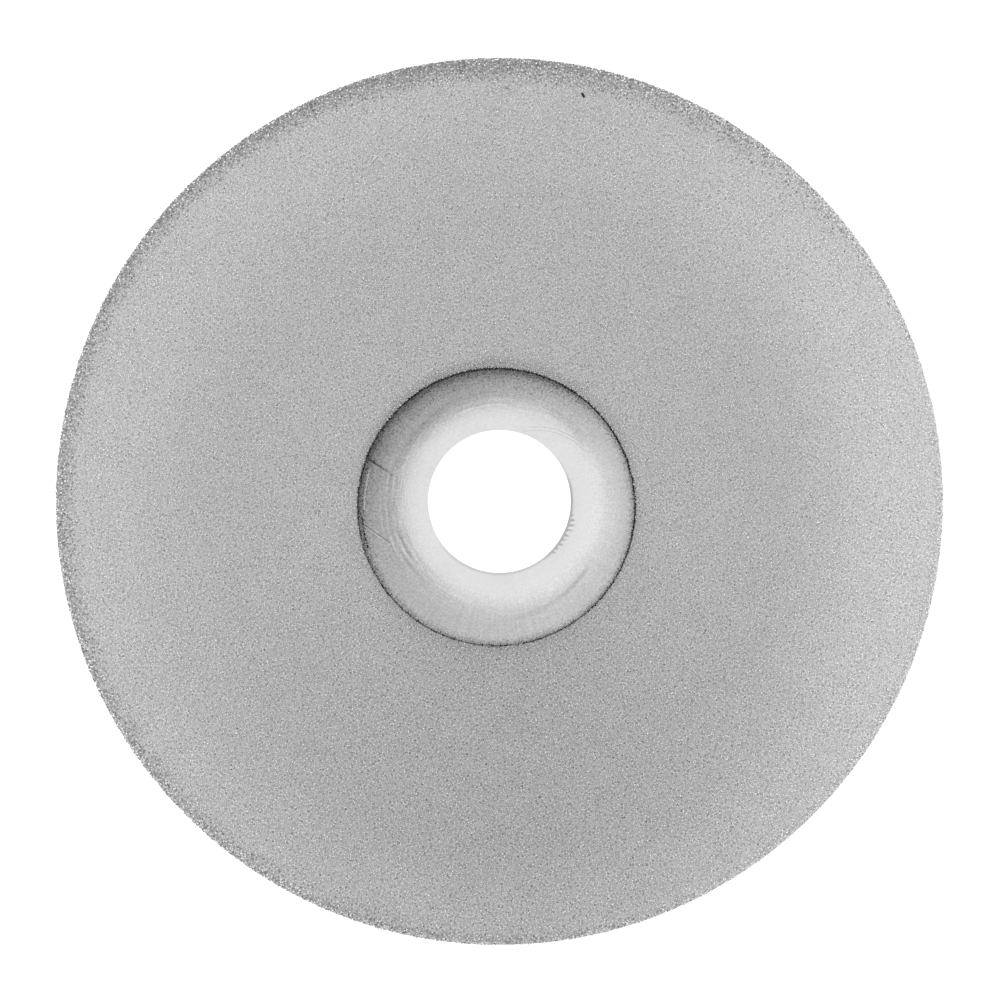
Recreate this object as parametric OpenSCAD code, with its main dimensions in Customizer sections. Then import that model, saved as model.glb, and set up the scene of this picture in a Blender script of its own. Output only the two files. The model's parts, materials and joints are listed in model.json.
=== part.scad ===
// Electroplated diamond grinding wheel.
// A pressed steel disc with a depressed centre carries a nickel plate that holds one layer of
// diamond crystals on its front face and round its rim. The axis is Z, the grinding face looks
// up, and the back of the hub lies on Z = 0. Lengths are in millimetres.

/* [Wheel] */
// Outer diameter over the nickel bond, which the crystals on the rim stand just proud of
wheel_d = 100; // [90:1:125]
// Diameter of the bore: that of the spindle's shoulder and 0.2 mm of clearance
bore_d = 16.2; // [10:0.1:16.4]
// Thickness of the steel sheet
sheet_t = 1.2; // [1:0.1:1.4]

/* [Depressed centre] */
// Diameter of the flat seat round the bore, up to the first bend
seat_d = 18.2; // [17:0.1:19]
// Depth of the hub's front face below the front face of the sheet
recess_depth = 2.8; // [2.6:0.1:3.2]
// Slope of the cone between the hub and the face
cone_angle = 27; // [25:1:30]
// Radius of the soft bend from the seat into the cone, on the front of the sheet
inner_bend_r = 7; // [6:0.1:8]
// Radius of the sharper bend from the cone into the face, on the front of the sheet
outer_bend_r = 1.6; // [1.5:0.1:2]

/* [Plating] */
// Thickness of the nickel strike
strike_t = 0.08; // [0.06:0.01:0.1]
// Thickness of the nickel bond over the strike
bond_t = 0.2; // [0.18:0.01:0.24]
// Diameter of the round mask that kept the hub bare
mask_d = 31.3; // [30.8:0.1:32]
// How far the mask sat off the bore's axis, along X
mask_x = -0.32; // [-0.5:0.01:0.5]
// How far the mask sat off the bore's axis, along Y
mask_y = -0.64; // [-0.7:0.01:0.7]
// How far the strike creeps under the mask beyond the bond's edge
strike_ledge = 0.12; // [0.1:0.01:0.2]

/* [Crystals] */
// Width of a crystal across its corners
grit_size = 0.24; // [0.2:0.01:0.26]
// How far a crystal's middle stands above the strike
grit_seat = 0.19; // [0.16:0.01:0.2]
// Number of crystals drawn on the face
face_count = 240; // [60:1:600]
// Number of crystals drawn round the rim
rim_count = 120; // [30:1:240]
// Number of crystals drawn along the inner edge of the plating
edge_count = 60; // [12:1:120]
// Number of stray crystals drawn on the hub
stray_count = 20; // [1:1:40]

/* [Hidden] */
$fn = 128;

// The steel stops short of the outer diameter by the plating's thickness.
plating_t = strike_t + bond_t;
core_r = wheel_d / 2 - plating_t;
plate_z = recess_depth + sheet_t;
rim_land = 0.1;
rim_round = sheet_t - rim_land;
rim_centre = [core_r - rim_round, plate_z - rim_round];

// The two bends turn about these centres, and every skin over the sheet shares them.
bend_steps = 10;
rim_steps = 18;
half_turn = cone_angle / 2;
seat_r = seat_d / 2;
inner_corner_r = seat_r + inner_bend_r * tan(half_turn);
outer_corner_r = inner_corner_r + recess_depth / tan(cone_angle);
plate_r = outer_corner_r + outer_bend_r * tan(half_turn);
inner_bend = [seat_r, sheet_t + inner_bend_r];
outer_bend = [plate_r, plate_z - outer_bend_r];
cone_start_r = inner_bend[0] + inner_bend_r * sin(cone_angle);
cone_end_r = outer_bend[0] - outer_bend_r * sin(cone_angle);

// Crystals on the face follow a golden-angle spiral, which spreads them evenly with no rows.
golden_angle = 137.508;
grit_sides = 6;
grit_height = 0.8 * grit_size;
mask_r = mask_d / 2;
mask_centre = [mask_x, mask_y];
face_margin = 1;
rim_margin = 0.4;
face_start_r = max(plate_r, mask_r + norm(mask_centre)) + face_margin;
face_end_r = rim_centre[0] - rim_margin;
edge_gap = 0.3;
edge_drift = 0.4;
stray_gap = 0.5;
stray_drift = 1.6;
stray_mid_angle = 115;
stray_spread = 65;
bore_spare = 1;

function on_circle(centre, r, angle) = centre + r * [cos(angle), sin(angle)];
function arc(centre, r, from, to, steps) =
  [for (i = [0 : steps]) on_circle(centre, r, from + (to - from) * i / steps)];
function reversed(points) = [for (i = [len(points) - 1 : -1 : 0]) points[i]];

// The front of the sheet raised by a height, from the first bend out to the start of the rim.
function front_line(height) = concat(
  arc(inner_bend, inner_bend_r - height, -90, -90 + cone_angle, bend_steps),
  arc(outer_bend, outer_bend_r + height, 90 + cone_angle, 90, bend_steps)
);

// The rim's round edge raised by a height, and straight down to the back of the sheet.
function rim_line(height) = concat(
  arc(rim_centre, rim_round + height, 90, 0, rim_steps),
  [[rim_centre[0] + rim_round + height, recess_depth]]
);

// Height of the bare front face above the hub's back, and its slope, at a radius.
function front_z(r) =
  r < seat_r ? sheet_t :
  r < cone_start_r ? inner_bend[1] - sqrt(inner_bend_r ^ 2 - (r - inner_bend[0]) ^ 2) :
  r < cone_end_r ? plate_z - outer_bend_r * (1 - cos(cone_angle)) - (cone_end_r - r) * tan(cone_angle) :
  r < plate_r ? outer_bend[1] + sqrt(outer_bend_r ^ 2 - (outer_bend[0] - r) ^ 2) :
  plate_z;
function front_slope(r) =
  r < seat_r ? 0 :
  r < cone_start_r ? asin((r - inner_bend[0]) / inner_bend_r) :
  r < cone_end_r ? cone_angle :
  r < plate_r ? asin((outer_bend[0] - r) / outer_bend_r) :
  0;

// One crystal: a hexagonal block turned three ways about its middle.
module crystal(turn) {
  rotate(turn)
    cylinder(d = grit_size, h = grit_height, center = true, $fn = grit_sides);
}

// A skin over the front of the sheet and its rim, between two heights.
module skin(low, high) {
  rotate_extrude()
    polygon(concat(
      front_line(high), rim_line(high),
      reversed(rim_line(low)), reversed(front_line(low))
    ));
}

// The round plug that keeps the plating off the hub.
module mask(shrink) {
  translate([mask_x, mask_y, 0])
    cylinder(r = mask_r - shrink, h = 2 * plate_z);
}

module face_crystals() {
  turns = rands(0, 360, 3 * face_count, 11);
  for (i = [0 : face_count - 1]) {
    share = (i + 0.5) / face_count;
    r = sqrt((1 - share) * face_start_r ^ 2 + share * face_end_r ^ 2);
    rotate(i * golden_angle)
      translate([r, 0, plate_z + strike_t + grit_seat])
        crystal([turns[3 * i], turns[3 * i + 1], turns[3 * i + 2]]);
  }
}

module rim_crystals() {
  turns = rands(0, 360, 3 * rim_count, 12);
  tilts = rands(6, 84, rim_count, 13);
  reach = rim_round + strike_t + grit_seat;
  for (i = [0 : rim_count - 1])
    rotate(360 * i / rim_count)
      translate([rim_centre[0] + reach * sin(tilts[i]), 0, rim_centre[1] + reach * cos(tilts[i])])
        crystal([turns[3 * i], turns[3 * i + 1], turns[3 * i + 2]]);
}

// Crystals standing on the front face at a point, tilted with the surface there.
module on_front(x, y, height) {
  r = norm([x, y]);
  slope = front_slope(r);
  rotate(atan2(y, x))
    translate([r - height * sin(slope), 0, front_z(r) + height * cos(slope)])
      children();
}

module edge_crystals() {
  turns = rands(0, 360, 3 * edge_count, 14);
  drift = rands(0, 1, edge_count, 15);
  for (i = [0 : edge_count - 1]) {
    a = 360 * i / edge_count;
    at = on_circle(mask_centre, mask_r + edge_gap + edge_drift * drift[i], a);
    on_front(at[0], at[1], strike_t + grit_seat)
      crystal([turns[3 * i], turns[3 * i + 1], turns[3 * i + 2]]);
  }
}

module stray_crystals() {
  turns = rands(0, 360, 3 * stray_count, 16);
  spots = rands(0, 1, 2 * stray_count, 17);
  for (i = [0 : stray_count - 1]) {
    a = stray_mid_angle + stray_spread * (2 * (i + 0.6 * spots[2 * i]) / stray_count - 1);
    r = mask_r - strike_ledge - stray_gap - stray_drift * spots[2 * i + 1];
    at = on_circle(mask_centre, r, a);
    on_front(at[0], at[1], 0)
      crystal([turns[3 * i], turns[3 * i + 1], turns[3 * i + 2]]);
  }
}

// The pressed sheet: the front line, the round edge of the rim, and the same bends on the back.
// Its outline runs a little way into the bore, which then cuts it to a true cylinder.
module steel_core() {
  color("silver")
    difference() {
      rotate_extrude()
        polygon(concat(
          [[bore_d / 2 - bore_spare, sheet_t]],
          front_line(0), rim_line(0),
          arc(outer_bend, outer_bend_r - sheet_t, 90, 90 + cone_angle, bend_steps),
          arc(inner_bend, inner_bend_r + sheet_t, -90 + cone_angle, -90, bend_steps),
          [[bore_d / 2 - bore_spare, 0]]
        ));
      translate([0, 0, -bore_spare])
        cylinder(d = bore_d, h = sheet_t + 2 * bore_spare);
    }
}

module nickel_strike() {
  color("gainsboro")
    difference() {
      skin(0, strike_t);
      mask(strike_ledge);
    }
}

module nickel_bond() {
  color("darkgray")
    difference() {
      skin(strike_t, plating_t);
      mask(0);
      face_crystals();
      rim_crystals();
      edge_crystals();
    }
}

module face_grit() {
  color("whitesmoke")
    face_crystals();
}

module rim_grit() {
  color("dimgray")
    rim_crystals();
}

module mask_edge_grit() {
  color("dimgray")
    edge_crystals();
}

// The strays stand on the bare steel, so the sheet is cut away from under them.
module stray_grit() {
  color("dimgray")
    difference() {
      stray_crystals();
      steel_core();
    }
}

steel_core();
nickel_strike();
nickel_bond();
face_grit();
rim_grit();
mask_edge_grit();
stray_grit();
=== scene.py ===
"""The looks of an electroplated diamond grinding wheel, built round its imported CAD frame.

The wheel lies on its hub with the grinding face up, and the camera looks straight down its axis.
The nickel bond and the crystals are remade here as a fine skin and a dense layer of separate
stones. The steel disc and the nickel strike are the CAD's own, with better materials.

East is +X and north is +Y. Angles given as numbers are degrees about the axis, from east to north.
"""

import json
import math

import bpy
import numpy as np
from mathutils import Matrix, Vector
from mathutils.bvhtree import BVHTree


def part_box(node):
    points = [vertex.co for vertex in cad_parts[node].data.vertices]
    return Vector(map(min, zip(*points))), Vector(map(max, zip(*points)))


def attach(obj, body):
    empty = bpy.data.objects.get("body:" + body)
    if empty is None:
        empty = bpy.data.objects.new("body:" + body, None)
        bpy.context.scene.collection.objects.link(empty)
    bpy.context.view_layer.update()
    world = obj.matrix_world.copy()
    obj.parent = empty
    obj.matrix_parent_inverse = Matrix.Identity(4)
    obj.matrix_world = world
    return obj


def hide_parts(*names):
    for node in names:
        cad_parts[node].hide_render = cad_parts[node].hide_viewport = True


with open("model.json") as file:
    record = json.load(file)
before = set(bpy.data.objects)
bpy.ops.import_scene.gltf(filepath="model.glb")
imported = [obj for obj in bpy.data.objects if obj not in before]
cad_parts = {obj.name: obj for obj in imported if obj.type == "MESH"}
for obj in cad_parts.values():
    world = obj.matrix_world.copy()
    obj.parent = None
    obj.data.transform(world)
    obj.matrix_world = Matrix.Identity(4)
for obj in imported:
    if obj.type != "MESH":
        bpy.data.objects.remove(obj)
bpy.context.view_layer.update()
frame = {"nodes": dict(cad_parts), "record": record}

MM = 0.001
rng = np.random.default_rng(16100)

# ---------------------------------------------------------------- sizes that the frame gives

CORE_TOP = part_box("steel_core")[1].z
STRIKE_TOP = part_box("nickel_strike")[1].z
bond_lo, bond_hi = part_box("nickel_bond")
BOND_FOOT, BOND_TOP, WHEEL_R = bond_lo.z, bond_hi.z, bond_hi.x
BORE_R = frame["record"]["mounts"][0]["dims"]["r_mm"] * MM
PLATING_T = BOND_TOP - CORE_TOP
BOND_T = BOND_TOP - STRIKE_TOP

# The rim is a quarter round on a short straight land
RIM_LAND = 0.1 * MM
RIM_ROUND = BOND_TOP - BOND_FOOT - RIM_LAND
RIM_CENTRE_R, RIM_CENTRE_Z = WHEEL_R - RIM_ROUND, BOND_TOP - RIM_ROUND

# How many sectors a hole is fitted in, and how level a flat front has to be
HOLE_SECTORS = 36
FLAT_WITHIN = 0.001 * MM


def mesh_points(node):
    """A CAD node's vertices as an array."""
    return np.array([v.co for v in frame["nodes"][node].data.vertices])


def inner_circle(node):
    """Centre and radius of a node's hole, fitted to its innermost point in each sector."""
    points = mesh_points(node)[:, :2]
    radius = np.hypot(*points.T)
    sector = ((np.arctan2(points[:, 1], points[:, 0]) / math.tau + 0.5) * HOLE_SECTORS).astype(int)
    inner = [np.flatnonzero(sector == k) for k in range(HOLE_SECTORS)]
    edge = points[[k[np.argmin(radius[k])] for k in inner if len(k)]]
    fit = np.linalg.lstsq(np.column_stack([edge, np.ones(len(edge))]), (edge**2).sum(1), rcond=None)[0]
    centre = fit[:2] / 2
    return centre, math.sqrt(fit[2] + centre @ centre)


def flat_from(node):
    """The radius from which a CAD node's front is flat."""
    points = mesh_points(node)
    top = points[points[:, 2] > points[:, 2].max() - FLAT_WITHIN]
    return np.hypot(top[:, 0], top[:, 1]).min()


MASK_CENTRE, MASK_R = inner_circle("nickel_bond")
PLATE_R = flat_from("steel_core")
core_tree = BVHTree.FromObject(frame["nodes"]["steel_core"], bpy.context.evaluated_depsgraph_get())
WELL_ABOVE, DOWN = 1.0, Vector((0, 0, -1))


def on_front(x, y, height):
    """The point straight over (x, y) that stands a height off the bare front of the steel."""
    place, normal, _, _ = core_tree.ray_cast(Vector((x, y, WELL_ABOVE)), DOWN)
    return np.array([x, y, place.z + height / normal.z])


# ---------------------------------------------------------------- how the plating's grey varies, with light and shade painted into it

def smooth(x):
    """0 below 0, 1 above 1 and a smooth step between."""
    x = np.clip(x, 0, 1)
    return x * x * (3 - 2 * x)


def rise(value, start, end):
    """0 up to start, 1 from end on and a smooth step between."""
    return smooth((value - start) / (end - start))


def directions(flat):
    """Each point's distance from the axis, and how far east and north it lies, from -1 to 1."""
    radius = np.hypot(*flat.T)
    return radius, flat[:, 0] / radius, flat[:, 1] / radius


# Painted shade darkens the plating towards the rim, less in the north-east, and from nearer in at the north
RIM_SHADE_FROM, RIM_SHADE_TO = 47.3 * MM, 50.0 * MM
RIM_SHADE_DEPTH = 0.205
RIM_SHADE_WEST, RIM_SHADE_NORTH, RIM_SHADE_POLES = 0.8, 0.85, 0.3
RIM_SHADE_SPARED = 0.16
RIM_SHADE_LATER, RIM_SHADE_SOONER = 0.5 * MM, 0.6 * MM


def rim_shade(flat):
    """How deep the painted shade round the rim is, deepest at the north-west: 0 is none."""
    radius, east, north = directions(flat)
    depth = RIM_SHADE_DEPTH * (1 - RIM_SHADE_WEST * east + RIM_SHADE_NORTH * north + RIM_SHADE_POLES * (north**2 - east**2))
    depth -= RIM_SHADE_SPARED * np.clip(east, 0, 1) * np.clip(north, 0, 1)
    slanted = np.clip(-2 * east * north, 0, 1)
    start = RIM_SHADE_FROM + RIM_SHADE_LATER * slanted - RIM_SHADE_SOONER * np.clip(north, 0, 1) ** 2
    return np.clip(depth, 0, None) * rise(radius, start, RIM_SHADE_TO)


# Painted light makes it paler outwards, most of all in the east, and painted shade makes it darker in the
# south
PALE_FROM, PALE_TO = 0.60 * WHEEL_R, 0.92 * WHEEL_R
PALE, PALE_EAST, PALE_WEST, PALE_LESS_SOUTH = 0.08, 0.2, 0.07, 0.1
SOUTH_FROM, SOUTH_TO = 38.0 * MM, 47.0 * MM
SOUTH_PALE, SOUTH_DARK = 0.1, 0.12

# It is darker beside the mask's edge
EDGE_FADE = 0.8 * MM
EDGE_DARK, EDGE_DARK_SOUTH = 0.1, 0.12

# Painted light makes it paler where the rim rounds over, and painted shade makes its outermost part darker
# in the east than in the west
RIM_FROM, RIM_TO, RIM_END = 48.2 * MM, 49.4 * MM, 49.9 * MM
RIM_LIFT, RIM_LIFT_LESS, RIM_TURN = 0.256, 0.096, 0.1


def tone_and_painted_light(flat):
    """The plating's grey at points of the face, as a share of its usual grey, with painted light and shade
    in it.
    """
    radius, east, north = directions(flat)
    south = np.clip(-north, 0, 1)
    # Painted light outwards and in the east, painted shade in the south
    pale = PALE + PALE_EAST * np.clip(east, 0, 1) ** 2 + PALE_WEST * np.clip(-east, 0, 1)
    pale = rise(radius, PALE_FROM, PALE_TO) * (pale - PALE_LESS_SOUTH * south)
    pale += SOUTH_PALE * south * rise(radius, SOUTH_FROM, SOUTH_TO) - SOUTH_DARK * south**2
    from_mask = np.hypot(*(flat - MASK_CENTRE).T) - MASK_R
    edge = (EDGE_DARK + EDGE_DARK_SOUTH * south) * np.exp(-np.clip(from_mask, 0, None) / EDGE_FADE)
    # Painted light over the rim's rounding, painted shade at its eastern edge
    lift = (RIM_LIFT - RIM_LIFT_LESS * east**4) * rise(radius, RIM_FROM, RIM_TO)
    turned = RIM_TURN * east * rise(radius, RIM_TO, RIM_END)
    return (1 + pale) * (1 - edge) * (1 + lift - turned)


# ---------------------------------------------------------------- meshes

def new_piece(name, verts, faces, material):
    """A mesh object from arrays of points and of equal-sided faces, riding on the wheel's body."""
    verts, faces = np.asarray(verts, np.float32), np.asarray(faces, np.int32)
    sides = faces.shape[1]
    mesh = bpy.data.meshes.new(name)
    mesh.vertices.add(len(verts))
    mesh.vertices.foreach_set("co", verts.ravel())
    mesh.loops.add(faces.size)
    mesh.loops.foreach_set("vertex_index", faces.ravel())
    mesh.polygons.add(len(faces))
    mesh.polygons.foreach_set("loop_start", np.arange(len(faces)) * sides)
    mesh.update(calc_edges=True)
    mesh.materials.append(material)
    piece = bpy.data.objects.new(name, mesh)
    bpy.context.scene.collection.objects.link(piece)
    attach(piece, "root")
    return piece


def give_tone(piece, values):
    """Stores each vertex's grey, which the piece's material reads."""
    layer = piece.data.attributes.new("tone_and_painted_light", "FLOAT", "POINT")
    layer.data.foreach_set("value", np.asarray(values, np.float32))


# A crystal's corners stand off an octahedron's by some spread, and the rim's painted shade darkens it by a
# share
OCTAHEDRON = np.array([[1, 0, 0], [0, 1, 0], [-1, 0, 0], [0, -1, 0], [0, 0, 1], [0, 0, -1]])
OCTAHEDRON_FACES = np.array([
    [0, 1, 4], [1, 2, 4], [2, 3, 4], [3, 0, 4],
    [1, 0, 5], [2, 1, 5], [3, 2, 5], [0, 3, 5],
])
CORNERS = len(OCTAHEDRON)
CORNER_SPREAD = 0.2
RIM_SHADE_ON_CRYSTALS = 0.4


def random_turns(count):
    """Random rotation matrices, one for each of count crystals."""
    q = rng.normal(size=(count, 4))
    q /= np.linalg.norm(q, axis=1)[:, None]
    w, x, y, z = q.T
    return np.stack([
        1 - 2 * (y * y + z * z), 2 * (x * y - w * z), 2 * (x * z + w * y),
        2 * (x * y + w * z), 1 - 2 * (x * x + z * z), 2 * (y * z - w * x),
        2 * (x * z - w * y), 2 * (y * z + w * x), 1 - 2 * (x * x + y * y),
    ], axis=1).reshape(count, 3, 3)


def crystals(name, places, radii, material, greys):
    """One piece of many separate closed crystals, each an uneven octahedron turned at random."""
    count = len(places)
    shapes = OCTAHEDRON * (1 + rng.normal(0, CORNER_SPREAD, (count, CORNERS, 1)))
    verts = np.einsum("nij,nkj->nki", random_turns(count), shapes)
    verts = verts * radii[:, None, None] + places[:, None, :]
    faces = OCTAHEDRON_FACES[None] + CORNERS * np.arange(count)[:, None, None]
    piece = new_piece(name, verts.reshape(-1, 3), faces.reshape(-1, 3), material)
    # The plating's grey with its painted light, darkened by the rim's painted shade
    shade = tone_and_painted_light(places[:, :2]) * (1 - RIM_SHADE_ON_CRYSTALS * rim_shade(places[:, :2]))
    give_tone(piece, np.repeat(shade * greys, CORNERS))
    return piece


# ---------------------------------------------------------------- materials

class Graph:
    """A node tree, written as calls that each add a node and return its output."""

    def __init__(self, tree):
        self.tree = tree

    def add(self, kind, inputs, output=0, **settings):
        """A node with its settings, and with each input linked to a socket or set to a value."""
        node = self.tree.nodes.new(kind)
        for key, value in settings.items():
            setattr(node, key, value)
        for key, value in inputs.items():
            if isinstance(value, bpy.types.NodeSocket):
                self.tree.links.new(value, node.inputs[key])
            else:
                node.inputs[key].default_value = value
        return node.outputs[output]

    def math(self, operation, a, b=0.0):
        """Arithmetic on one or two numbers."""
        return self.add("ShaderNodeMath", {0: a, 1: b}, operation=operation)

    def vector(self, operation, a, b=(0, 0, 0), output=0):
        """Arithmetic on one or two vectors."""
        return self.add("ShaderNodeVectorMath", {0: a, 1: b}, output, operation=operation)

    def parts(self, vector):
        """The three parts of a vector."""
        node = self.tree.nodes.new("ShaderNodeSeparateXYZ")
        self.tree.links.new(vector, node.inputs[0])
        return node.outputs

    def joined(self, x, y, z):
        """A vector of three parts."""
        return self.add("ShaderNodeCombineXYZ", {0: x, 1: y, 2: z})

    def product(self, first, *others):
        """Several numbers or masks, multiplied."""
        made = first
        for other in others:
            made = self.math("MULTIPLY", made, other)
        return made

    def step(self, value, start, end, low=0.0, high=1.0):
        """A smooth change from low at start to high at end."""
        inputs = {"Value": value, "From Min": start, "From Max": end, "To Min": low, "To Max": high}
        return self.add("ShaderNodeMapRange", inputs, interpolation_type="SMOOTHSTEP")

    def noise(self, place, size, detail=2.0):
        """Noise about 0.5, with features of about a size in metres."""
        return self.add("ShaderNodeTexNoise", {"Vector": place, "Scale": 1 / size, "Detail": detail})


class Surface(Graph):
    """A material, as its node tree and the shader that the tree feeds."""

    def __init__(self, name):
        self.material = bpy.data.materials.new(name)
        self.material.use_nodes = True
        super().__init__(self.material.node_tree)
        self.shader = self.tree.nodes["Principled BSDF"]

    def place(self):
        """The point's place on the object, in metres."""
        return self.add("ShaderNodeTexCoord", {}, "Object")

    def stored_tone_and_painted_light(self):
        """The grey that is stored with each vertex, with painted light and shade in it."""
        return self.add("ShaderNodeAttribute", {}, "Fac", attribute_name="tone_and_painted_light")

    def bump(self, height, depth):
        """Tilts the surface by a height map, depth metres high. Height is 0 to 1."""
        normal = self.add("ShaderNodeBump", {"Height": height, "Distance": depth, "Strength": 1.0})
        self.drive("Normal", normal)

    def drive(self, socket, value):
        """Links a value to one of the shader's sockets."""
        self.tree.links.new(value, self.shader.inputs[socket])

    def fix(self, **values):
        """Sets the shader's own sockets, whose spaces are written as underscores."""
        for key, value in values.items():
            self.shader.inputs[key.replace("_", " ")].default_value = value


# Where most of a noise lies, with less and less beyond it
MOST = (0.3, 0.7)
WIDER = (0.25, 0.75)
WIDEST = (0.2, 0.8)

# Dirty stones reflect less than clean ones, and a few stones get painted glints, brighter still
DIAMOND_IOR, DULL_IOR = 2.2, 1.3
GLINT_SHARE, GLINT_POWER = 0.1, 12.0


def grit_material(name, low, high, roughness, ior=DIAMOND_IOR):
    """Crystals that each have their own grey, from low to high, a few with painted glints, times the
    plating's grey and painted light there.
    """
    g = Surface(name)
    own = g.add("ShaderNodeNewGeometry", {}, "Random Per Island")
    # Painted glints: a few crystals made brighter still
    few = g.math("MULTIPLY", g.math("POWER", own, GLINT_POWER), GLINT_SHARE)
    share = g.math("ADD", g.math("MULTIPLY", own, 1 - GLINT_SHARE), few)
    grey = g.add("ShaderNodeMapRange", {"Value": share, "To Min": low, "To Max": high})
    g.drive("Base Color", g.math("MULTIPLY", grey, g.stored_tone_and_painted_light()))
    g.fix(Roughness=roughness, IOR=ior)
    return g.material


NICKEL_GREY = 0.42
NODULE, NODULE_HEIGHT = 0.12 * MM, 0.03 * MM
NICKEL_CLOUD = 3 * MM


def nickel_material():
    """Matt plated nickel with a fine nodular surface."""
    g = Surface("nickel_bond")
    place = g.place()
    nodules = g.noise(place, NODULE)
    clouds = g.noise(place, NICKEL_CLOUD, 3.0)
    spread = g.math("ADD", g.step(nodules, *MOST, 0.8, 1.2), g.step(clouds, *MOST, -0.03, 0.03))
    g.drive("Base Color", g.product(spread, NICKEL_GREY, g.stored_tone_and_painted_light()))
    g.bump(nodules, NODULE_HEIGHT)
    g.fix(Metallic=0.7, Roughness=0.5)
    return g.material


STRIKE_GRAIN, STRIKE_HEIGHT = 0.1 * MM, 0.01 * MM


def strike_material():
    """The thin undercoat: a darker matt nickel with fine pits."""
    g = Surface("nickel_strike")
    grains = g.noise(g.place(), STRIKE_GRAIN)
    g.drive("Base Color", g.step(grains, *MOST, 0.12, 0.3))
    g.bump(grains, STRIKE_HEIGHT)
    g.fix(Metallic=0.8, Roughness=0.5)
    return g.material


def floor_material():
    """White paper with a glow of its own, which keeps it white round the wheel."""
    g = Surface("floor")
    g.fix(Base_Color=(0.9, 0.9, 0.9, 1), Roughness=0.8)
    g.fix(Emission_Color=(1, 1, 1, 1), Emission_Strength=0.5)
    return g.material


# ---------------------------------------------------------------- the bare steel of the hub

# A mark on the steel is a mask and its strength, which darkens below 0 and brightens above it.
# Its full strength takes up this share of its width, and a scratch may fade over these shares of
# its length.
ARC_CORE, SCRATCH_CORE = 0.25, 0.2
SCRATCH_FADES = (0.5, 1.1)


class Hub(Surface):
    """The bare steel's material, with the hub's polar coordinates and marks drawn in them, in mm.

    Its front is a mask: 1 on the front of the sheet, and 0 on its edges and its back.
    """

    def __init__(self, name):
        super().__init__(name)
        self.here = self.place()
        self.flat = self.vector("MULTIPLY", self.here, (1, 1, 0))
        self.radius = self.vector("LENGTH", self.flat, output="Value")
        self.around = self.vector("NORMALIZE", self.flat)
        self.from_mask_centre = self.from_point(*MASK_CENTRE / MM)
        normal = self.add("ShaderNodeTexCoord", {}, "Normal")
        self.front = self.step(self.parts(normal)[2], 0.0, 0.2)

    def from_point(self, x, y):
        """Distance from a point of the hub."""
        return self.vector("LENGTH", self.vector("SUBTRACT", self.flat, (x * MM, y * MM, 0)), output="Value")

    def facing(self, at, sweep, fade):
        """1 up to sweep degrees from an angle about the bore, and fading to 0 over some more."""
        aim = (math.cos(math.radians(at)), math.sin(math.radians(at)), 0)
        inner, outer = (math.cos(math.radians(a)) for a in (sweep, sweep + fade))
        return self.step(self.vector("DOT_PRODUCT", self.around, aim, "Value"), outer, inner)

    def arc(self, radius, half, at, sweep, fade, distance=None):
        """A stretch of a ring, half wide on either side.

        The ring lies round the bore, or round the point that distance is measured from.
        """
        off = self.math("SUBTRACT", self.radius if distance is None else distance, radius * MM)
        ring = self.step(self.math("ABSOLUTE", off), half * MM, half * MM * ARC_CORE)
        return self.product(ring, self.facing(at, sweep, fade))

    def scratch(self, start, end, half, fade=0.0):
        """A straight mark between two points, half wide on either side, which may fade by its end."""
        a = Vector((*start, 0)) * MM
        along = Vector((*end, 0)) * MM - a
        reach = self.vector("SUBTRACT", self.flat, tuple(a))
        share = self.vector("DOT_PRODUCT", reach, tuple(along / along.length_squared), "Value")
        held = self.add("ShaderNodeClamp", {"Value": share})
        scaled = self.add("ShaderNodeVectorMath", {0: tuple(along), "Scale": held}, operation="SCALE")
        off = self.vector("LENGTH", self.vector("SUBTRACT", reach, scaled), output="Value")
        mark = self.step(off, half * MM, half * MM * SCRATCH_CORE)
        return self.product(mark, self.step(share, *SCRATCH_FADES, 1.0, 1.0 - fade))


# How little the streaks change on their way round the bore
STREAK_SLOWNESS = 0.004

# The even rings' pitch, the radius of a bright one, and the size of the patches where they are faint
RING_PITCH, RING_BRIGHT = 0.69 * MM, 13.52 * MM
RING_PATCH = 1.5 * MM

# Rays run out across the cone, from where it starts to be dull
RAY_WIDTH = 0.3 * MM
DULL_FROM, DULL_TO = 10.6 * MM, 12.6 * MM


def streaks(h, per_mm):
    """Fine turning lines round the bore, so many to the millimetre: noise about 0.5."""
    slow = [h.math("MULTIPLY", part, STREAK_SLOWNESS) for part in h.parts(h.around)[:2]]
    return h.noise(h.joined(h.math("MULTIPLY", h.radius, per_mm), *slow), MM)


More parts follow.
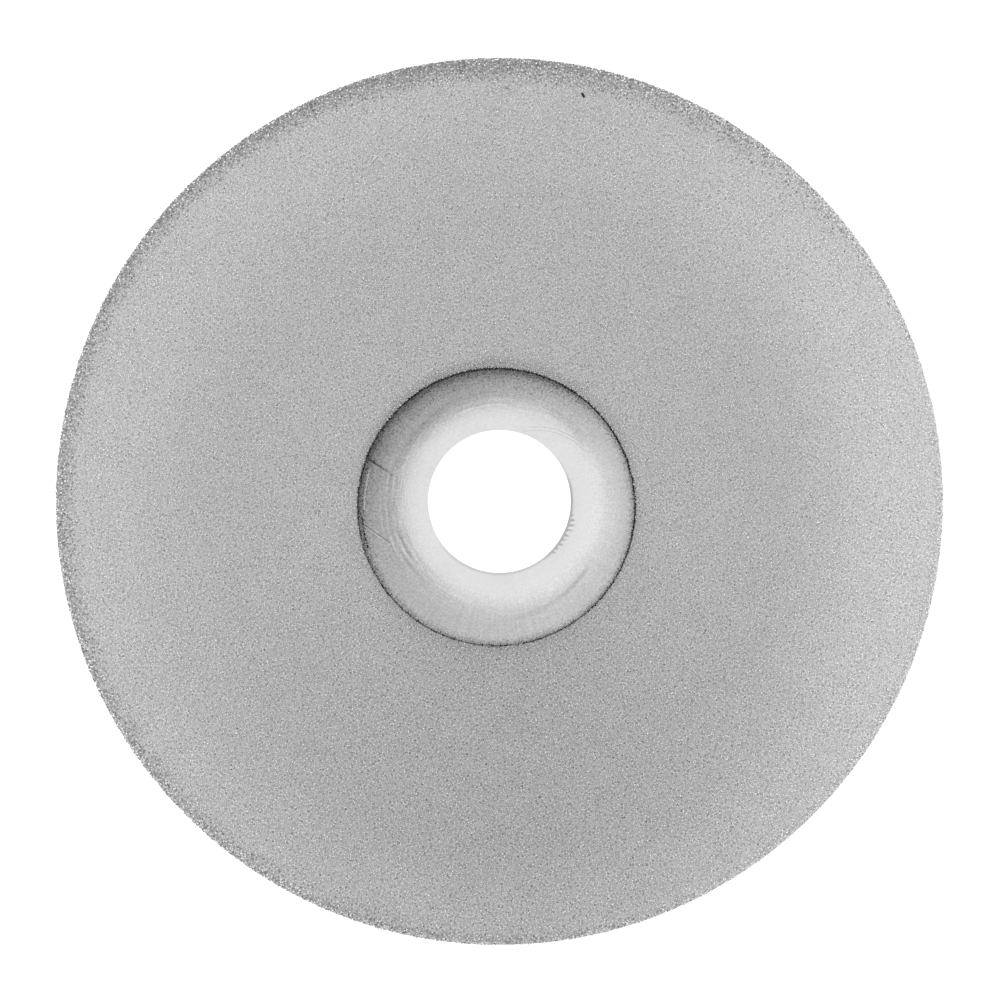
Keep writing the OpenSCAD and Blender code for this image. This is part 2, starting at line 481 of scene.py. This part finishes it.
def turning_marks(h):
    """What turning left: even rings and hairlines in the west, and faint lines and rays all round."""
    coarse, fine = streaks(h, 3.4), streaks(h, 6.5)
    hairs = h.step(fine, 0.35, 0.65, -1.0, 1.0)
    phase = h.math("MULTIPLY", h.math("SUBTRACT", h.radius, RING_BRIGHT), math.tau / RING_PITCH)
    patches = h.step(h.noise(h.here, RING_PATCH, 1.0), 0.35, 0.55, 0.4, 1.0)
    rings = h.math("MULTIPLY", h.math("COSINE", phase), patches)
    rays = h.noise(h.vector("MULTIPLY", h.around, (DULL_TO, DULL_TO, 0)), RAY_WIDTH, 1.0)
    west = h.arc(12.8, 1.9, at=184, sweep=20, fade=14)
    south_west = h.arc(11.9, 1.3, at=218, sweep=15, fade=14)
    north_west = h.arc(11.2, 1.8, at=140, sweep=60, fade=50)
    dulled = h.step(h.radius, DULL_FROM, DULL_TO)
    return [
        (h.product(rings, west), 0.075),
        (h.product(h.step(coarse, 0.48, 0.3), west), -0.05),
        (h.product(hairs, west), 0.07),
        (h.product(rings, south_west), 0.05),
        (h.product(hairs, south_west), 0.06),
        (south_west, -0.03),
        (h.product(hairs, dulled), 0.012),
        (h.product(h.step(fine, 0.42, 0.58, -1.0, 1.0), north_west), 0.035),
        (h.product(h.step(rays, *MOST, -1.0, 1.0), dulled), 0.03),
    ]


def painted_cone_shading(h):
    """Painted light and shade on the cone: darker than the seat all round, darker still in the west and
    north, and lighter in the east and in a band at the north.
    """
    return [
        (h.step(h.radius, 11.2 * MM, 14.8 * MM), -0.17),
        (h.arc(11.8, 1.3, at=170, sweep=50, fade=35), -0.06),
        (h.arc(11.7, 1.6, at=108, sweep=25, fade=22), -0.08),
        (h.arc(12.3, 2.4, at=0, sweep=12, fade=24), 0.07),
        (h.arc(14.4, 1.7, at=80, sweep=14, fade=20), 0.07),
    ]


def scratches(h):
    """Two scratches in the west, the lower one with a bright side, and short nicks in the east."""
    return [
        (h.scratch((-15.5, 5.3), (-12.0, 2.95), 0.24, fade=0.75), -0.5),
        (h.scratch((-15.5, -2.45), (-12.3, -4.7), 0.1, fade=0.5), -0.38),
        (h.scratch((-15.4, -2.68), (-12.3, -4.93), 0.12, fade=0.7), 0.2),
        (h.scratch((12.0, -2.2), (15.2, -3.6), 0.1), 0.07),
        (h.scratch((14.55, -2.35), (15.2, -2.55), 0.12), -0.22),
        (h.scratch((14.7, -2.8), (15.15, -2.92), 0.12), -0.18),
        (h.scratch((14.5, -3.6), (14.95, -3.78), 0.12), -0.15),
    ]


def tool_arcs(h):
    """A double arc that a tool left in the north-east, off the bore's axis."""
    tool = h.from_point(4.28, 0.79)
    return [
        (h.arc(7.62, 0.1, at=50, sweep=14, fade=6, distance=tool), -0.14),
        (h.arc(7.42, 0.14, at=62, sweep=20, fade=5, distance=tool), 0.035),
        (h.arc(7.28, 0.1, at=52, sweep=18, fade=6, distance=tool), -0.12),
    ]


def fine_arcs(h):
    """Short lines along the cone: a painted highlight along a ridge in the west, and others in the north and
    south.
    """
    return [
        # A painted highlight along the ridge at the shoulder
        (h.arc(14.9, 0.14, at=175, sweep=7, fade=4, distance=h.from_mask_centre), 0.55),
        (h.arc(10.92, 0.13, at=101, sweep=12, fade=7), 0.11),
        (h.arc(11.2, 0.14, at=98, sweep=14, fade=9), -0.05),
        (h.arc(11.58, 0.13, at=93, sweep=9, fade=7), 0.08),
        (h.arc(11.93, 0.14, at=92, sweep=7, fade=7), -0.07),
        (h.arc(12.4, 0.2, at=104, sweep=8, fade=8), -0.06),
        (h.arc(11.75, 0.3, at=243, sweep=8, fade=6), 0.075),
        (h.arc(10.6, 0.14, at=252, sweep=13, fade=6), 0.035),
    ]


def painted_bend_shade(h):
    """Painted shade in soft dark arcs along the bend, the longest in the south-east and a little off the
    bore's axis.
    """
    low = h.from_point(-0.8, -0.67)
    return [
        (h.arc(12.1, 0.6, at=140, sweep=14, fade=10), -0.07),
        (h.arc(11.75, 0.7, at=50, sweep=9, fade=9), -0.12),
        (h.arc(12.75, 0.45, at=-61, sweep=17, fade=13, distance=low), -0.1),
        (h.arc(12.7, 0.3, at=-48, sweep=5, fade=7, distance=low), -0.1),
    ]


# The burr's teeth: how far apart they are, how they lean, and how soon and how much they vary
TOOTH_PITCH, TOOTH_LEAN = 0.58 * MM, 0.3
TOOTH_RUN = 0.8 * MM
TOOTH_SHORT, TOOTH_LONG = 0.15 * MM, 0.55 * MM
LIP_FROM, LIP_TO = 0.4 * MM, 0.1 * MM


def burr_and_bore_shade(h):
    """The burr round the bore and painted shade: a thin dark line along the south-east is painted shade of
    the bore's rolled edge, with the burr's teeth where it is worst.
    """
    out = h.math("SUBTRACT", h.radius, BORE_R)
    x, y = h.parts(h.around)[:2]
    along = h.math("MULTIPLY", h.math("ARCTAN2", y, x), BORE_R)
    leaning = h.math("SUBTRACT", along, h.math("MULTIPLY", out, TOOTH_LEAN))
    comb = h.step(h.math("SINE", h.math("MULTIPLY", leaning, math.tau / TOOTH_PITCH)), -0.2, 0.7)
    uneven = h.noise(h.vector("MULTIPLY", h.around, (BORE_R, BORE_R, 0)), TOOTH_RUN, 1.0)
    length = h.step(uneven, 0.35, 0.6, TOOTH_SHORT, TOOTH_LONG)
    teeth = h.product(comb, length, h.facing(at=-27, sweep=10, fade=10))
    lip = h.step(h.math("SUBTRACT", out, teeth), LIP_FROM, LIP_TO)
    # The lip is painted shade of the rolled edge, widened by the burr's teeth
    return [
        (h.product(lip, h.facing(at=-55, sweep=62, fade=40)), -0.2),
        (h.product(lip, h.facing(at=-16, sweep=26, fade=14)), -0.2),
    ]


# The steel's grey is spread by a fine mottle, stronger on the cone than on the seat, and by clouds
STEEL_GREY = 0.615
MOTTLE, MOTTLE_HEIGHT = 0.22 * MM, 0.003 * MM
CLOUD, CLOUD_DEPTH = 2.5 * MM, 0.025
GRAIN_FROM, GRAIN_TO = 9.4 * MM, 11.8 * MM
GRAIN_SEAT, GRAIN_CONE = 0.035, 0.11

# How ragged the inner side of the dirt and painted shade is, how far in it reaches, and how dark it is at
# the mask
GRIME_SHADE_RAGGED = 0.25 * MM
GRIME_SHADE_REACH, GRIME_SHADE_DARK = 1.1 * MM, 0.3
NORTH_REACH, NORTH_FULL = 3.0 * MM, 0.2 * MM


def steel_spread(h, mottle, cloud):
    """How the bare steel's grey is spread about 0, from its grain, its clouds and its marks, among which are
    painted light and shade.
    """
    grain = h.step(h.radius, GRAIN_FROM, GRAIN_TO, GRAIN_SEAT, GRAIN_CONE)
    rougher = h.math("ADD", h.math("MULTIPLY", h.facing(at=135, sweep=65, fade=50), 0.5), 1.0)
    spread = h.product(h.step(mottle, *WIDER, -1.0, 1.0), grain, rougher)
    spread = h.math("ADD", spread, h.step(cloud, *WIDER, -CLOUD_DEPTH, CLOUD_DEPTH))
    # The marks include painted light and shade on the cone, the bend and the bore's edge
    for kind in (turning_marks, painted_cone_shading, scratches, tool_arcs, fine_arcs, painted_bend_shade, burr_and_bore_shade):
        for mark, strength in kind(h):
            spread = h.math("ADD", spread, h.product(mark, h.front, strength))
    return spread


def grime_and_shade(h, mottle):
    """Dirt and painted shade on the front, in the corner beside the mask's edge, which reach further in at
    the north.
    """
    inwards = h.math("SUBTRACT", MASK_R, h.from_mask_centre)
    ragged = h.math("ADD", inwards, h.step(mottle, *WIDEST, -GRIME_SHADE_RAGGED, GRIME_SHADE_RAGGED))
    edge = h.step(ragged, GRIME_SHADE_REACH, 0.0, 0.0, GRIME_SHADE_DARK)
    deep = h.step(ragged, NORTH_REACH, NORTH_FULL, 0.0, GRIME_SHADE_DARK)
    deep = h.product(h.facing(at=120, sweep=35, fade=50), deep)
    return h.product(h.math("ADD", edge, deep), h.front)


def bare_steel():
    """Pressed steel, dulled by handling, with turning marks, scratches and a grimy edge at the mask that is
    partly painted shade.
    """
    h = Hub("bare_steel")
    mottle, cloud = h.noise(h.here, MOTTLE, 3.0), h.noise(h.here, CLOUD)
    grey = h.math("MULTIPLY", h.math("SUBTRACT", 1.0, grime_and_shade(h, mottle)), STEEL_GREY)
    h.drive("Base Color", h.math("MULTIPLY", h.math("ADD", steel_spread(h, mottle, cloud), 1.0), grey))
    h.drive("Roughness", h.step(cloud, *WIDEST, 0.38, 0.5))
    h.bump(mottle, MOTTLE_HEIGHT)
    h.fix(Metallic=1.0)
    return h.material


# ---------------------------------------------------------------- the nickel bond

# The skin is a net of columns and rows, whose rows crowd towards the mask's jagged edge
BOND_COLUMNS = 640
FACE_ROWS, FACE_ROWS_UNDER = 48, 12
RIM_ROWS, RIM_ROWS_UNDER = 12, 6
ROW_LEAN = 1.5
EDGE_JAG = 0.03 * MM


def at_height(flat, height):
    """A ring of points of the skin, all at one height."""
    return np.column_stack([flat, np.full(BOND_COLUMNS, height)])


def face_rows(start, end, height, count):
    """Rings from the mask's edge out to the rim, closest together at the mask."""
    rows = []
    for k in range(count):
        flat = start + (end - start) * (k / (count - 1)) ** ROW_LEAN
        if np.hypot(*flat.T).min() > PLATE_R:
            rows.append(at_height(flat, CORE_TOP + height))
        else:
            rows.append(np.array([on_front(x, y, height) for x, y in flat]))
    return rows


def rim_rows(ring, height, count):
    """Rings over the rounded rim and down its land, to the foot."""
    reach = RIM_ROUND - PLATING_T + height
    tilts = [math.pi / 2 * k / count for k in range(1, count + 1)]
    rows = [
        at_height((RIM_CENTRE_R + reach * math.sin(tilt)) * ring, RIM_CENTRE_Z + reach * math.cos(tilt))
        for tilt in tilts
    ]
    return rows + [at_height((RIM_CENTRE_R + reach) * ring, BOND_FOOT)]


def closed_faces(row_count):
    """The quads between rings of points, the last of which joins on to the first."""
    column = np.arange(BOND_COLUMNS)
    after = (column + 1) % BOND_COLUMNS
    faces = []
    for k in range(row_count):
        this, below = k * BOND_COLUMNS, (k + 1) % row_count * BOND_COLUMNS
        faces.append(np.column_stack([column + this, column + below, after + below, after + this]))
    return np.concatenate(faces)


def bond_skin(material):
    """The nickel between the crystals, closed all round, from the mask's edge to the rim."""
    angle = np.arange(BOND_COLUMNS) / BOND_COLUMNS * math.tau
    ring = np.column_stack([np.cos(angle), np.sin(angle)])
    jag = rng.normal(0, EDGE_JAG, BOND_COLUMNS)
    start = MASK_CENTRE + (MASK_R + jag)[:, None] * ring
    end = RIM_CENTRE_R * ring
    strike_t = PLATING_T - BOND_T
    top = face_rows(start, end, PLATING_T, FACE_ROWS) + rim_rows(ring, PLATING_T, RIM_ROWS)
    under = face_rows(start, end, strike_t, FACE_ROWS_UNDER) + rim_rows(ring, strike_t, RIM_ROWS_UNDER)
    rows = top + under[::-1]
    verts = np.concatenate(rows)
    piece = new_piece("bond_skin", verts, closed_faces(len(rows)), material)
    # The skin's grey with its painted light, darkened by the rim's painted shade
    give_tone(piece, tone_and_painted_light(verts[:, :2]) * (1 - rim_shade(verts[:, :2])))
    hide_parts("nickel_bond")


# ---------------------------------------------------------------- the crystals of the face and rim

# Crystals lie as close as in a hexagonal packing of this spacing, but along a golden-angle spiral
SPACING = 0.235 * MM
HEXAGON = math.sqrt(3) / 2
GOLDEN_ANGLE = math.pi * (3 - math.sqrt(5))
CRYSTAL_R = (0.085 * MM, 0.135 * MM)
HEIGHT_SPREAD = 0.03 * MM
MASK_GAP = 0.08 * MM

# How far crystals drift from their places, and how close the rim's rows are, in shares of a spacing
FACE_DRIFT = 0.3
RIM_ROW_SHARE, RIM_DRIFT_DOWN, RIM_DRIFT_ALONG = 0.87, 0.35, 0.4


def spread_evenly(limit, *shape):
    """Random numbers between minus and plus a limit."""
    return rng.uniform(-limit, limit, shape)


def around(r, angle):
    """Points at distances and angles about the origin."""
    return np.column_stack([r * np.cos(angle), r * np.sin(angle)])


def face_places():
    """Points spread evenly over the plated face, from the mask's edge to the rim."""
    area = math.pi * RIM_CENTRE_R**2
    count = int(area / (SPACING**2 * HEXAGON))
    k = np.arange(count)
    flat = around(RIM_CENTRE_R * np.sqrt((k + 0.5) / count), k * GOLDEN_ANGLE)
    flat += spread_evenly(FACE_DRIFT, *flat.shape) * SPACING
    flat = flat[np.hypot(*(flat - MASK_CENTRE).T) > MASK_R + MASK_GAP]
    height = spread_evenly(HEIGHT_SPREAD, len(flat))
    places = np.column_stack([flat, BOND_TOP + height])
    for k in np.flatnonzero(np.hypot(*flat.T) < PLATE_R):
        places[k] = on_front(*flat[k], PLATING_T + height[k])
    return places


def rim_places():
    """Points spread over the rounded rim, from the face to the land at the back."""
    rows = int(math.pi / 2 * RIM_ROUND / (SPACING * RIM_ROW_SHARE))
    for_row = int(math.tau * WHEEL_R / SPACING)
    down = np.arange(rows)[:, None] + 0.5 + spread_evenly(RIM_DRIFT_DOWN, rows, for_row)
    along = np.arange(for_row)[None] + spread_evenly(RIM_DRIFT_ALONG, rows, for_row)
    tilt = (down / rows * math.pi / 2).ravel()
    angle = (along / for_row * math.tau).ravel()
    reach = RIM_ROUND + spread_evenly(HEIGHT_SPREAD, len(tilt))
    flat = around(RIM_CENTRE_R + reach * np.sin(tilt), angle)
    return np.column_stack([flat, RIM_CENTRE_Z + reach * np.cos(tilt)])


def crystal_piece(name, places, radii, material, node, greys=1.0):
    """Crystals of random sizes, between two radii, that stand for a CAD node."""
    piece = crystals(name, places, rng.uniform(*radii, len(places)), material, greys)
    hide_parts(node)


# Values are evened on a grid of cells, and the evened ones turned back into chances from 0 to 1
EVEN_CELL, EVEN_REACH = 0.1 * MM, 0.16 * MM
EVENED_SCALE = 0.105
RIM_SHADE_SHARE = 1.6

# How uneven the crystals' own greys are, and how much they lean to the dark
GRIT_CONTRAST, SOUTH_CONTRAST, RIM_SHADE_CONTRAST = 1.3, 0.3, 4.2
DARK_LEAN = 0.6
DARKEST_GREY = 0.1


def evened(flat, values):
    """Each crystal's value less the mean of those round it, so that no patch differs from the next."""
    at = tuple(((flat - flat.min(axis=0)) / EVEN_CELL).astype(int).T)
    cells = int(2 * WHEEL_R / EVEN_CELL) + 1
    grid = np.zeros((2, cells, cells))
    np.add.at(grid[0], at, values)
    np.add.at(grid[1], at, 1.0)
    wave = np.fft.fftfreq(cells, EVEN_CELL)
    soft = np.exp(-2 * (math.pi * EVEN_REACH) ** 2 * (wave[:, None] ** 2 + wave**2))
    total, count = np.fft.ifft2(np.fft.fft2(grid) * soft).real
    return values - (total / count)[at]


def own_greys(flat):
    """Each crystal's own grey about 1, a little more uneven at the south, and more where the rim's painted
    shade lies.
    """
    north = directions(flat)[2]
    uneven = (1 + SOUTH_CONTRAST * np.clip(-north, 0, 1)) * (1 + RIM_SHADE_CONTRAST * rim_shade(flat))
    greys = 1 + GRIT_CONTRAST * uneven * evened(flat, rng.random(len(flat)) ** DARK_LEAN)
    return np.clip(greys, DARKEST_GREY, None)


# A black pit in the plating, between two points a little east of north, and a smudge at the north
PIT_ENDS = np.array([(9.34, 45.93), (9.58, 45.53)]) * MM
PIT_R, PIT_SPREAD, PIT_HEIGHT = 0.19 * MM, 0.03 * MM, 0.03 * MM
PIT_CRYSTALS = 20
SMUDGE, SMUDGE_R = np.array([(0.93, 46.56)]) * MM, 0.22 * MM


def within(flat, spots, radius):
    """Whether points lie within a radius of one of some spots."""
    return np.any([np.hypot(*(flat - spot).T) < radius for spot in spots], axis=0)


def shaded_and_smudged(flat):
    """Which crystals are dark: painted shade near the rim, the more of them the deeper it is, and all of the
    smudge.
    """
    chance = 1 / (1 + np.exp(-evened(flat, rng.random(len(flat))) / EVENED_SCALE))
    return (chance < RIM_SHADE_SHARE * rim_shade(flat)) | within(flat, SMUDGE, SMUDGE_R)


def pit_places():
    """Black crystals crowded in the pit, from its one end to the other."""
    first, last = PIT_ENDS
    share = rng.random(PIT_CRYSTALS)[:, None]
    flat = first + share * (last - first) + rng.normal(0, PIT_SPREAD, (PIT_CRYSTALS, 2))
    return np.column_stack([flat, np.full(PIT_CRYSTALS, BOND_TOP + PIT_HEIGHT)])


FACE_SECTORS = 8


def plated_crystals(face, rim, rim_shaded, dark):
    """The crystals of the face, in sectors, and of the rim, with dark ones among them near the rim that
    paint its shade.
    """
    layers = (("face", face_places(), face, FACE_SECTORS), ("rim", rim_places(), rim, 1))
    for where, places, material, sectors in layers:
        shade_and_smudge = shaded_and_smudged(places[:, :2])
        greys = own_greys(places[:, :2])
        outside = ~within(places[:, :2], PIT_ENDS, PIT_R)
        places, shade_and_smudge, greys = places[outside], shade_and_smudge[outside], greys[outside]
        turn = np.arctan2(places[:, 1], places[:, 0]) / math.tau + 0.5
        sector = (turn * sectors).astype(int) % sectors
        node = f"{where}_grit"
        for s in range(sectors):
            own = (sector == s) & ~shade_and_smudge
            name = f"{where}_crystals_{s + 1}"
            crystal_piece(name, places[own], CRYSTAL_R, material, node, greys[own])
        crystal_piece(f"burnt_{where}_crystals", places[shade_and_smudge], CRYSTAL_R, rim_shaded, node)
    crystal_piece("pit_crystals", pit_places(), CRYSTAL_R, dark, "face_grit")


# ---------------------------------------------------------------- the crystals at the mask

# The first row follows the edge of the mask, and it is fullest at an angle near the north; it is crystals,
# and painted shade of the plating's step
EDGE_SPACING = 0.012 * MM
EDGE_R = (0.055 * MM, 0.095 * MM)
EDGE_FULL_AT, EDGE_FULLNESS, EDGE_FULLNESS_SWING = 70, 0.62, 0.38
EDGE_OFF, EDGE_OFF_SPREAD = 0.02 * MM, 0.07 * MM
EDGE_HEIGHT = (0.1 * MM, 0.3 * MM)

# A second, short row of them stands a little way in, on the bare steel
SECOND_AT, SECOND_SWEEP, SECOND_SHARE = 191, 6.5, 0.35
SECOND_OFF, SECOND_OFF_SPREAD = -0.47 * MM, 0.04 * MM
BARE_FROM, BARE_HEIGHT = -0.1 * MM, 0.05 * MM


def edge_places():
    """Crystals crowded along the mask's edge, partly painted shade of the plating's step: thickest at the
    north, broken at the south.
    """
    count = int(math.tau * MASK_R / EDGE_SPACING)
    angle = (np.arange(count) + spread_evenly(0.5, count)) / count * math.tau
    fullness = EDGE_FULLNESS + EDGE_FULLNESS_SWING * np.cos(angle - math.radians(EDGE_FULL_AT))
    angle = angle[rng.random(count) < fullness]
    off = rng.normal(EDGE_OFF, EDGE_OFF_SPREAD, len(angle))
    second = np.abs(angle - math.radians(SECOND_AT)) < math.radians(SECOND_SWEEP)
    second &= rng.random(len(angle)) < SECOND_SHARE
    angle = np.concatenate([angle, angle[second]])
    off = np.concatenate([off, rng.normal(SECOND_OFF, SECOND_OFF_SPREAD, second.sum())])
    flat = MASK_CENTRE + around(MASK_R + off, angle)
    height = np.where(off < BARE_FROM, BARE_HEIGHT, rng.uniform(*EDGE_HEIGHT, len(flat)))
    return np.array([on_front(x, y, h) for (x, y), h in zip(flat, height)])


# Strays crept further, and more of them are kept, on the side that they are thickest on, where they also
# paint shade
STRAY_COUNT = 10500
STRAY_R = (0.02 * MM, 0.05 * MM)
STRAY_AT, STRAY_WIDER, STRAY_SOFTER = 125, 0.35, 1.2
STRAY_CREEP, STRAY_CREEP_SIDE, STRAY_LIMIT = 0.14 * MM, 0.5 * MM, 4 * MM
STRAY_SHARE, STRAY_SHARE_SIDE = 0.25, 0.75
STRAY_GAP, STRAY_HEIGHT = 0.15 * MM, 0.01 * MM


def stray_and_shade_places():
    """Fine crystals that crept under the mask, thickest at the north-west and thinning inwards, and painted
    shade there as well.
    """
    angle = rng.uniform(0, math.tau, STRAY_COUNT)
    side = smooth((np.cos(angle - math.radians(STRAY_AT)) + STRAY_WIDER) / STRAY_SOFTER)
    creep = rng.exponential(1, STRAY_COUNT) * (STRAY_CREEP + STRAY_CREEP_SIDE * side)
    kept = (rng.random(STRAY_COUNT) < STRAY_SHARE + STRAY_SHARE_SIDE * side) & (creep < STRAY_LIMIT)
    flat = MASK_CENTRE + around(MASK_R - STRAY_GAP - creep[kept], angle[kept])
    return np.array([on_front(x, y, STRAY_HEIGHT) for x, y in flat])


def edge_and_strays(material):
    """The dark crystals at the mask, partly painted shade: those along its edge, and those that crept under
    it.
    """
    crystal_piece("mask_edge_crystals", edge_places(), EDGE_R, material, "mask_edge_grit")
    crystal_piece("stray_crystals", stray_and_shade_places(), STRAY_R, material, "stray_grit")


# ---------------------------------------------------------------- floor, lights and camera

FLOOR_SIDE = 3.0


def floor():
    """A plain white floor under the hub."""
    mesh = bpy.data.meshes.new("floor")
    corners = [(-1, -1), (1, -1), (1, 1), (-1, 1)]
    mesh.from_pydata([(x * FLOOR_SIDE, y * FLOOR_SIDE, 0) for x, y in corners], [], [(0, 1, 2, 3)])
    ground = bpy.data.objects.new("floor", mesh)
    bpy.context.scene.collection.objects.link(ground)
    mesh.materials.append(floor_material())


# How bright the tent is, in parts that depend on the direction, and the glow low down in it
LIT_FROM = (-0.766, 0.643)
HORIZON, OVERHEAD, SIDEWAYS, DIMMEST = 0.20, 1.20, 0.32, 0.05
GLOW, GLOW_EAST, GLOW_TOP = 0.8, 0.25, 0.3


def studio():
    """A white tent: brightest overhead, brighter towards the north-west, with a glow low in the east."""
    world = bpy.data.worlds.new("studio")
    world.use_nodes = True
    g = Graph(world.node_tree)
    sky = g.add("ShaderNodeTexCoord", {}, "Generated")

    def towards(x, y, z, base):
        """A brightness that is base at right angles to a direction and grows towards it."""
        return g.math("ADD", g.vector("DOT_PRODUCT", sky, (x, y, z), "Value"), base)

    east, north = (c * SIDEWAYS for c in LIT_FROM)
    high = g.math("MAXIMUM", towards(east, north, OVERHEAD, HORIZON), DIMMEST)
    low_down = g.step(towards(0, 0, 1, 0.0), 0.0, GLOW_TOP, 1.0, 0.0)
    glow = g.math("MULTIPLY", towards(GLOW_EAST, 0, 0, GLOW), low_down)
    light = g.math("ADD", high, glow)
    by_camera = g.add("ShaderNodeLightPath", {}, "Is Camera Ray")
    seen = g.add("ShaderNodeMix", {"Factor": by_camera, "A": light, "B": 1.0}, "Result")
    back = world.node_tree.nodes["Background"]
    back.inputs["Color"].default_value = (1, 1, 1, 1)
    world.node_tree.links.new(seen, back.inputs["Strength"])
    bpy.context.scene.world = world


# The picture's width and centre on the wheel, and the lens and sensor in Blender's own mm
FRAME_WIDTH = 112.73 * MM
FRAME_CENTRE = (0.13 * MM, 0.1 * MM)
LENS, SENSOR = 200, 36
NEAREST = 0.01


def camera():
    """A long lens that looks straight down, with the wheel almost in the middle of its picture."""
    data = bpy.data.cameras.new("camera")
    data.lens = LENS
    data.sensor_width = SENSOR
    data.clip_start = NEAREST
    cam = bpy.data.objects.new("camera", data)
    cam.location = (*FRAME_CENTRE, BOND_TOP + FRAME_WIDTH * LENS / SENSOR)
    bpy.context.scene.collection.objects.link(cam)
    bpy.context.scene.camera = cam


# ---------------------------------------------------------------- the whole scene

floor()
studio()
camera()
bpy.context.scene.view_settings.view_transform = "Standard"

frame["nodes"]["steel_core"].material_slots[0].material = bare_steel()
frame["nodes"]["nickel_strike"].material_slots[0].material = strike_material()
bond_skin(nickel_material())
face = grit_material("diamond_grit", low=0.55, high=0.64, roughness=0.3)
rim = grit_material("rim_grit", low=0.5, high=0.6, roughness=0.3)
# Dark crystals that paint the rim's shade, and those of the smudge
rim_shaded = grit_material("rim_shaded_grit", low=0.08, high=0.3, roughness=0.4)
dark = grit_material("dark_grit", low=0.004, high=0.03, roughness=0.6, ior=DULL_IOR)
plated_crystals(face, rim, rim_shaded, dark)
edge_and_strays(dark)
